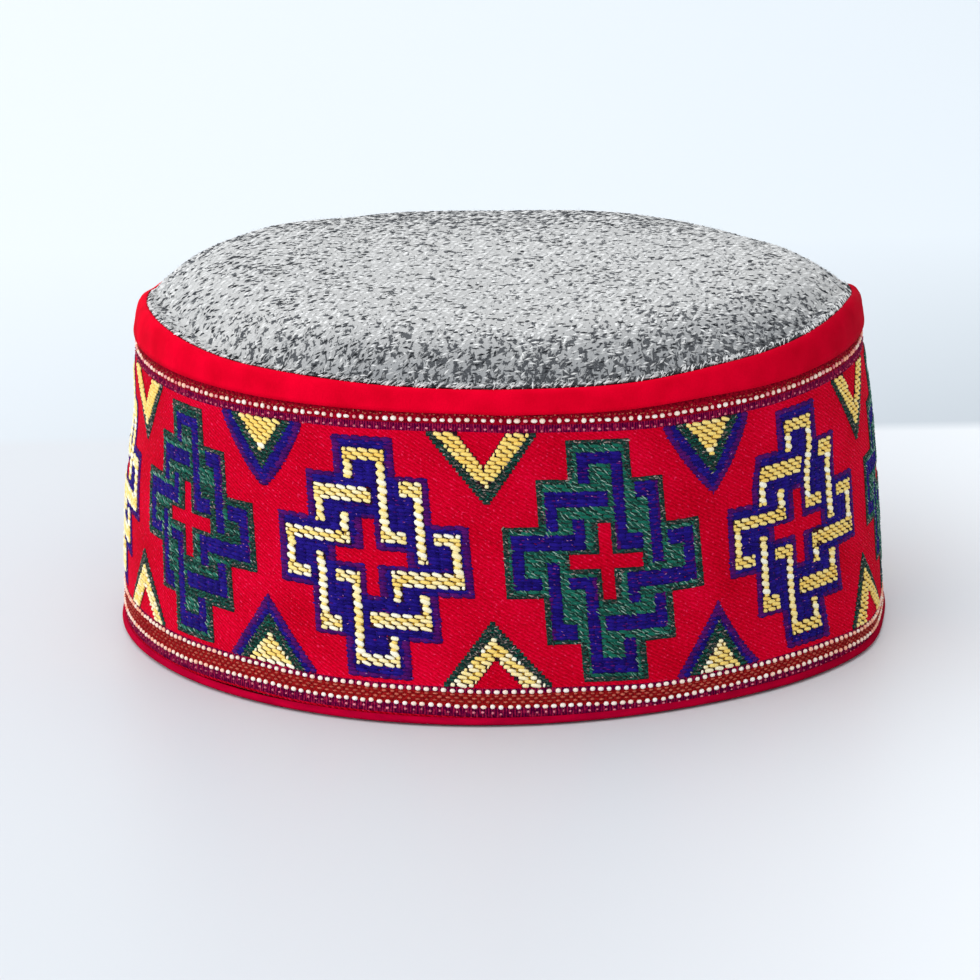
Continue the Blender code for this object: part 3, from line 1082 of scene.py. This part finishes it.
def strip_material(name, bright, deep):
    """Smooth red strip cloth, with painted shade towards the right and on its inner side."""
    made, tree, shader = new_material(name)
    across, _, place = flat_chart(tree)
    values = {"Place": place, "Deep": deep, "Bright": bright}
    weave = node(tree, "ShaderNodeGroup", values, node_tree=PLAIN_WEAVE).outputs
    # Painted shade: darker towards the right, the side turned away from the light.
    painted_right_shade = span(tree, across, 30.0, 110.0, 0.0, 0.5)
    red = mixed(tree, painted_right_shade, weave["Colour"], srgb(136, 0, 28))
    # Painted shade on the inner side of the fold.
    inner = node(tree, "ShaderNodeAttribute", attribute_name="inner").outputs["Fac"]
    red = mixed(tree, maths(tree, "MULTIPLY", inner, 0.85), red, srgb(84, 0, 26))
    tree.links.new(red, shader.inputs["Base Color"])
    cloth_shader(shader, 0.8, 0.01)
    tree.links.new(bump(tree, weave["Height"], 0.3, 0.0008), shader.inputs["Normal"])
    return made


MIDDLE_TONE = 0.45


def yarn_group():
    """Fine fibres along a thread, coloured by its tone from dark over middle to light."""
    tree, given, result = shader_group(
        "yarn_fibres",
        {"Place": "Vector", "Tone": "Float", "Dark": "Color", "Middle": "Color", "Light": "Color"},
        {"Colour": "Color", "Height": "Float"},
    )
    fine = noise(tree, given["Place"], 2600.0, 2.0)
    level = maths(tree, "MULTIPLY_ADD", maths(tree, "SUBTRACT", fine, 0.5), 0.6, given["Tone"])
    low = span(tree, level, 0.0, MIDDLE_TONE)
    high = span(tree, level, MIDDLE_TONE, 1.0)
    colour = mixed(tree, high, mixed(tree, low, given["Dark"], given["Middle"]), given["Light"])
    tree.links.new(colour, result["Colour"])
    tree.links.new(fine, result["Height"])
    return tree


TWEED_FLECKS, PLAIN_WEAVE, YARN_FIBRES = tweed_group(), strip_group(), yarn_group()


def yarn_material(name, dark, middle, light, roughness, sheen):
    """Thread colour by the float's own tone value, from sRGB colours. Without a middle one it is even."""
    made, tree, shader = new_material(name)
    dark, light = srgb(*dark), srgb(*light)
    tone = node(tree, "ShaderNodeAttribute", attribute_name="tone").outputs["Fac"]
    place = node(tree, "ShaderNodeTexCoord").outputs["Object"]
    if middle is None:
        middle = tuple(a + MIDDLE_TONE * (z - a) for a, z in zip(dark, light))
    else:
        middle = srgb(*middle)
    values = {"Place": place, "Tone": tone, "Dark": dark, "Middle": middle, "Light": light}
    fibres = node(tree, "ShaderNodeGroup", values, node_tree=YARN_FIBRES).outputs
    tree.links.new(fibres["Colour"], shader.inputs["Base Color"])
    cloth_shader(shader, roughness, 0.12, sheen, 0.4)
    tree.links.new(bump(tree, fibres["Height"], 0.4, 0.0001), shader.inputs["Normal"])
    return made


def dress(piece, material=None):
    """Put a piece on the cap's one body, with its material. A thread has its material already."""
    if material is not None:
        piece.data.materials.append(material)
    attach(piece, "root")
    return piece


# The cloths
tweed = tweed_material("grey_tweed_wool", 0.61, srgb(170, 170, 169), srgb(212, 210, 207))
crown_ground = tweed_material("tweed_crown_ground", 0.595, srgb(176, 175, 174), srgb(212, 209, 206), 0.8)
red_ground = ground_material()
red_strip = strip_material("red_strip_cloth", srgb(234, 0, 40), srgb(206, 0, 30))
# The binding's crimson is its own, darkened further as painted shade at the cap's foot.
red_binding = strip_material("crimson_binding_cloth", srgb(188, 0, 46), srgb(146, 0, 38))

crown = dress(crown_cloth(), crown_ground)
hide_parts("crown")
wool = dress(wool_cloth(), tweed)
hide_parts("wool_wall")
band = dress(band_cloth(), red_ground)
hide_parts("woven_band")


def strip_creases(angles, offsets, heights):
    """The strip's lower edge follows the woven strip, and its face is slightly uneven."""
    turn = np.radians(angles)[None, :]
    side = np.sin(turn)
    low = 72.4 + 1.3 * np.abs(side) - 0.1 * side + 0.8 * bell(angles, 29.0, 13.0)[None, :]
    edge = strip_height(turn * STRIP_RADIUS, low)
    share = np.clip((RIM_HEIGHT - heights) / 6.0, 0.0, 1.0)
    outer = offsets > -0.5
    outward = smooth((offsets + 2.3) / 3.4)
    near_top = np.clip(1.0 - share * 2.0, 0.0, 1.0) ** 2
    lowered = RIM_HEIGHT - (RIM_HEIGHT - edge) * share
    heights = np.where(outer, lowered, heights)
    wave = 0.08 * np.sin(turn * 23.0 + 1.0) + 0.06 * np.sin(turn * 41.0 + heights * 0.5)
    heights = heights - fold_drop(angles)[None, :] * (1.0 - share)
    heights = heights - 0.9 * (1.0 - outward) * near_top
    drawn_in = (0.5 + 1.2 * side ** 2) * near_top * outward
    return offsets + np.where(outer, wave * share * (1.0 - share) * 4.0, 0.0) - drawn_in, heights


def binding_creases(angles, offsets, heights):
    """The binding's upper edge lies close to the band, and its fold is pressed flat on the table."""
    outer = offsets > 0.2
    close = 0.75 * smooth((heights - 0.5) / 1.6)
    return np.where(outer, offsets - close, offsets), heights


top_profile = rounded_fold(RIM_HEIGHT, 72.6, 70.6, 1.1, -2.3, 0.8)
top_cloth = ring_cloth("top_strip_cloth", top_profile, 288, CUFF, strip_creases)
dress(top_cloth, red_strip)
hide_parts("top_strip")
low_profile = rounded_fold(0.0, 2.1, 8.0, 1.1, -5.9, 0.8)
low_cloth = ring_cloth("bottom_binding_cloth", low_profile, 288, CUFF, binding_creases)
dress(low_cloth, red_binding)
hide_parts("bottom_binding")

# The threads
YARNS = (
    # name, dark, middle, light, roughness, sheen
    ("yellow_thread", (248, 198, 80), (254, 226, 130), (255, 252, 236), 0.5, 0.2),
    # tie_thread's dark end is painted shade round the yellow strokes; its light end is the olive of the ties
    ("tie_thread", (44, 10, 34), None, (186, 142, 34), 0.9, 0.0),
    ("navy_thread", (14, 0, 86), None, (42, 26, 150), 0.9, 0.0),
    ("purple_thread", (48, 0, 84), None, (106, 18, 112), 0.9, 0.0),
    ("pink_speck_thread", (120, 40, 120), None, (216, 150, 190), 0.9, 0.0),
    ("green_thread", (0, 62, 52), None, (10, 106, 86), 0.7, 0.1),
    ("dark_green_thread", (14, 44, 40), None, (34, 66, 58), 0.9, 0.0),
    ("mint_thread", (10, 104, 84), (60, 132, 110), (164, 192, 178), 0.6, 0.1),
    ("grey_green_thread", (50, 60, 56), (104, 96, 92), (208, 186, 178), 0.8, 0.0),
    ("cream_thread", (255, 176, 144), (255, 234, 214), (255, 253, 246), 0.5, 0.2),
    ("pink_thread", (160, 30, 70), None, (250, 140, 160), 0.7, 0.1),
    ("blush_thread", (236, 130, 140), None, (255, 226, 214), 0.6, 0.1),
    ("rust_thread", (150, 36, 36), None, (214, 112, 92), 0.8, 0.0),
    ("light_wool_yarn", (168, 168, 168), None, (244, 242, 240), 0.9, 0.2),
    ("charcoal_wool_yarn", (32, 34, 38), None, (92, 94, 98), 0.95, 0.1),
)
yarns = {row[0]: yarn_material(*row) for row in YARNS}

# A float's section along its length is a row of (place, size), and its upper side has so many flats
GRAINS = (
    ("long_grain", ((-0.5, 0.4), (-0.38, 0.88), (0.0, 1.0), (0.38, 0.88), (0.5, 0.4)), 3),
    ("flat_grain", ((-0.5, 0.8), (0.5, 0.8)), 2),
    ("fine_grain", ((-0.5, 0.6), (0.0, 1.0), (0.5, 0.6)), 2),
    ("round_grain", ((-0.5, 0.65), (0.0, 1.0), (0.5, 0.65)), 3),
    ("dot_grain", ((-0.5, 0.35), (-0.34, 0.82), (0.0, 1.0), (0.34, 0.82), (0.5, 0.35)), 4),
    ("yarn_grain", ((-0.5, 0.4), (0.0, 1.0), (0.5, 0.4)), 2),
)
grains = {row[0]: grain(*row) for row in GRAINS}
group = thread_group()
floats = woven_floats()
FIELD_THREADS = (
    # name, shape, floats, height, outwards, yarn, tilt, loose
    ("tie_threads", "flat_grain", SHADE, 0.16, 0.06, "tie_thread", 0.0, 0.03),
    ("yellow_threads", "long_grain", YELLOW, 0.46, 0.26, "yellow_thread", 0.18, 0.06),
    ("yellow_beads", "dot_grain", BEAD, 0.50, 0.26, "yellow_thread", 0.46, 0.12),
    ("navy_threads", "fine_grain", NAVY, 0.16, 0.10, "navy_thread", 0.10, 0.08),
    ("purple_threads", "fine_grain", PURPLE, 0.16, 0.10, "purple_thread", 0.10, 0.08),
    ("pink_specks", "flat_grain", SPECK, 0.16, 0.18, "pink_speck_thread", 0.3, 0.5),
    ("dark_green_threads", "flat_grain", DEEP, 0.14, 0.07, "dark_green_thread", 0.0, 0.03),
    ("green_threads", "round_grain", GREEN, 0.26, 0.16, "green_thread", 0.16, 0.06),
    ("mint_threads", "fine_grain", MINT, 0.20, 0.28, "mint_thread", 0.60, 0.2),
    ("grey_threads", "fine_grain", GREY, 0.26, 0.18, "grey_green_thread", 0.30, 0.5),
)
for name, shape, thread, height, outwards, yarn, tilt, loose in FIELD_THREADS:
    rows = floats[thread]
    piece = field_threads(name, group, grains[shape], rows, height, outwards, yarns[yarn], tilt, loose)
    dress(piece)


def dots(name, shape, heights, share, length, width, height, yarn, jitter, spread, every):
    """Rows of short stitches round the strip, a share of the usual spacing apart.

    every (3, 0) keeps each third one, (3, 1) the other two.
    """
    rows = []
    for k, at in enumerate(heights):
        count = int(2.0 * math.pi * STRIP_RADIUS / (share * DOT_SPACING))
        step = 2.0 * math.pi * STRIP_RADIUS / count
        s = -math.pi * STRIP_RADIUS + step * (np.arange(count) + 0.5 + 0.5 * (k % 2))
        if every is not None:
            s = s[(np.arange(count) % every[0] == 0) == (every[1] == 0)]
        rows.append((s + RANDOM.normal(0.0, jitter, len(s)), at + RANDOM.normal(0.0, jitter, len(s))))
    s = np.concatenate([row[0] for row in rows])
    points, turns = on_strip(s, np.concatenate([row[1] for row in rows]), DOT_OUTWARDS)
    seen = points[:, 2] > 2.0 * MM
    sizes = np.stack([
        length * RANDOM.uniform(1.0 - spread, 1.0 + spread, len(s)),
        width * RANDOM.uniform(1.0 - spread, 1.0 + spread, len(s)),
        np.full(len(s), height),
    ], axis=1) * MM
    tones = RANDOM.uniform(0.4, 1.0, len(s)) - 0.5 * smooth((np.abs(s) / STRIP_RADIUS - 0.45) / 0.7)
    return threads(name, group, shape, points[seen], turns[seen], sizes[seen], tones[seen], yarn)


DOTS = (
    # name, shape, heights, spacing, length, width, height, yarn, jitter, spread, every
    ("lower_dots", "dot_grain", (7.7, 4.1), 1.0, 1.22, 1.12, 0.6, "cream_thread", 0.05, 0.1, None),
    ("upper_dots", "dot_grain", (70.9,), 1.0, 1.22, 1.15, 0.55, "cream_thread", 0.05, 0.2, (3, 1)),
    ("small_upper_dots", "dot_grain", (70.9,), 1.0, 0.95, 1.0, 0.5, "blush_thread", 0.05, 0.3, (3, 0)),
    ("pink_dots", "fine_grain", (68.8, 2.75), 1.0, 0.55, 0.6, 0.35, "pink_thread", 0.15, 0.35, None),
    ("top_flecks", "fine_grain", (71.95,), 0.5, 0.4, 0.5, 0.3, "rust_thread", 0.2, 0.5, None),
    ("rust_flecks", "fine_grain", (6.75, 6.05, 5.3), 1.0, 0.95, 0.62, 0.35, "rust_thread", 0.05, 0.2, None),
)
for name, shape, heights, share, length, width, height, yarn, jitter, spread, every in DOTS:
    stitches = (heights, share, length, width, height, yarns[yarn], jitter, spread, every)
    dress(dots(name, grains[shape], *stitches))


def wool_threads(name, shape, yarn, tones, kept=slice(None)):
    """Those of the crown's points, turns and sizes that are kept, as yarns of the tweed."""
    points, turns, sizes = (values[kept] for values in laid)
    piece = threads(name, group, grains[shape], points, turns, sizes, tones[kept], yarns[yarn])
    dress(piece)


laid, rise = crown_yarns()
x, y = laid[0][:, 0] / MM, laid[0][:, 1] / MM
clumps = np.sin(x * 0.31 + 1.3 * np.sin(y * 0.17)) * np.sin(y * 0.23 + 1.1 * np.sin(x * 0.13))
clumps += np.sin(x * 0.9 + y * 0.7)
# Painted shade: more charcoal yarns towards the front of the rim, where the crown bends down out of the
# light; more also towards the back and on the left.
front = smooth((-32.0 - y + 0.3 * x) / 40.0)
share_dark = 0.10 + 0.07 * clumps + 0.32 * smooth((y - 15.0) / 45.0) + 0.24 * rise * front
share_dark += 0.10 * smooth((-20.0 - x) / 40.0)
chance = RANDOM.uniform(0.0, 1.0, len(x))
dark = chance < share_dark
light = ~dark & (chance > 0.6 - 0.1 * rise)
tones = RANDOM.uniform(0.0, 1.0, len(x)) * (0.4 + 0.6 * rise) + 0.6 * (1.0 - rise)
wool_threads("crown_light_yarns", "yarn_grain", "light_wool_yarn", tones, light)
laid[2][:, 0] *= 0.9
laid[2][:, 1] *= 1.15
tones = RANDOM.uniform(0.0, 1.0, len(x))
wool_threads("crown_dark_yarns", "yarn_grain", "charcoal_wool_yarn", tones, dark)
laid = fuzz_fibres(FUZZ_COUNT)
wool_threads("crown_fuzz", "flat_grain", "light_wool_yarn", RANDOM.uniform(0.3, 1.0, FUZZ_COUNT))
laid = edge_strands(STRAND_COUNT)
tones = RANDOM.uniform(0.0, 1.0, STRAND_COUNT)
pale = tones > 0.35
wool_threads("crown_edge_light", "yarn_grain", "light_wool_yarn", tones, pale)
wool_threads("crown_edge_dark", "yarn_grain", "charcoal_wool_yarn", tones, ~pale)
for guide in grains.values():
    bpy.data.objects.remove(guide, do_unlink=True)

# The floor, the light and the camera
floor_mesh = bpy.data.meshes.new("floor")
corners = [(-3.0, -2.0, 0.0), (3.0, -2.0, 0.0), (3.0, 4.0, 0.0), (-3.0, 4.0, 0.0)]
floor_mesh.from_pydata(corners, [], [(0, 1, 2, 3)])
floor = placed("floor", floor_mesh)
floor_paint, tree, shader = new_material("pale_floor")
place = node(tree, "ShaderNodeTexCoord").outputs["Object"]
sideways, back, _ = node(tree, "ShaderNodeSeparateXYZ", {0: place}).outputs
beyond = span(tree, back, 0.154, 0.164)
aside = span(tree, sideways, -0.3, 0.25)
low = span(tree, back, 0.16, 0.4, 1.0, 0.0)
# The backdrop, painted on the floor's far part, darkens towards the right and most of all low on the right:
# painted shade.
far = mixed(tree, aside, srgb(232, 236, 240), srgb(222, 228, 234))
far = mixed(tree, maths(tree, "MULTIPLY", aside, low), far, srgb(186, 193, 200))
# Painted light: the nearer floor turns lighter towards the right, where the cap's shadow falls.
near = mixed(tree, span(tree, sideways, 0.0, 0.16), srgb(217, 219, 223), srgb(240, 242, 245))
tree.links.new(mixed(tree, beyond, near, far), shader.inputs["Base Color"])
shader.inputs["Roughness"].default_value = 0.45
shader.inputs["Specular IOR Level"].default_value = 0.45
floor.data.materials.append(floor_paint)

world = bpy.data.worlds.new("studio")
world.use_nodes = True
sky = world.node_tree
direction = node(sky, "ShaderNodeTexCoord").outputs["Generated"]
toward = node(sky, "ShaderNodeSeparateXYZ", {0: direction}).outputs
sideways = maths(sky, "MULTIPLY_ADD", toward[2], -0.55, toward[0])
strength = span(sky, sideways, -0.9, 0.75, 1.58, 0.4)
sky.nodes["Background"].inputs["Color"].default_value = (0.93, 0.97, 1.0, 1.0)
sky.links.new(strength, sky.nodes["Background"].inputs["Strength"])
bpy.context.scene.world = world

MIDDLE = Vector((0.0, 0.0, 0.04))
window = bpy.data.lights.new("window", "AREA")
window.shape = "DISK"
window.size = 1.8
window.energy = 3.2
lamp = placed("window", window)
lamp.location = (-1.0, -0.8, 1.0)
lamp.rotation_euler = (MIDDLE - lamp.location).to_track_quat("-Z", "Y").to_euler()

# The camera's height over the table, its distance and its roll follow the photograph
ELEVATION = math.radians(15.49)
DISTANCE = 1.140
ROLL = math.radians(-1.0)
camera_data = bpy.data.cameras.new("camera")
camera_data.lens = 169.3
camera_data.sensor_width = 36.0
camera_data.shift_x = -0.01127
camera_data.shift_y = -0.0436
camera = placed("camera", camera_data)
camera.matrix_world = (
    Matrix.Translation(MIDDLE + Vector((0.0, -math.cos(ELEVATION), math.sin(ELEVATION))) * DISTANCE)
    @ Matrix.Rotation(0.5 * math.pi - ELEVATION, 4, "X")
    @ Matrix.Rotation(ROLL, 4, "Z")
)
bpy.context.scene.camera = camera
bpy.context.scene.view_settings.view_transform = "Standard"
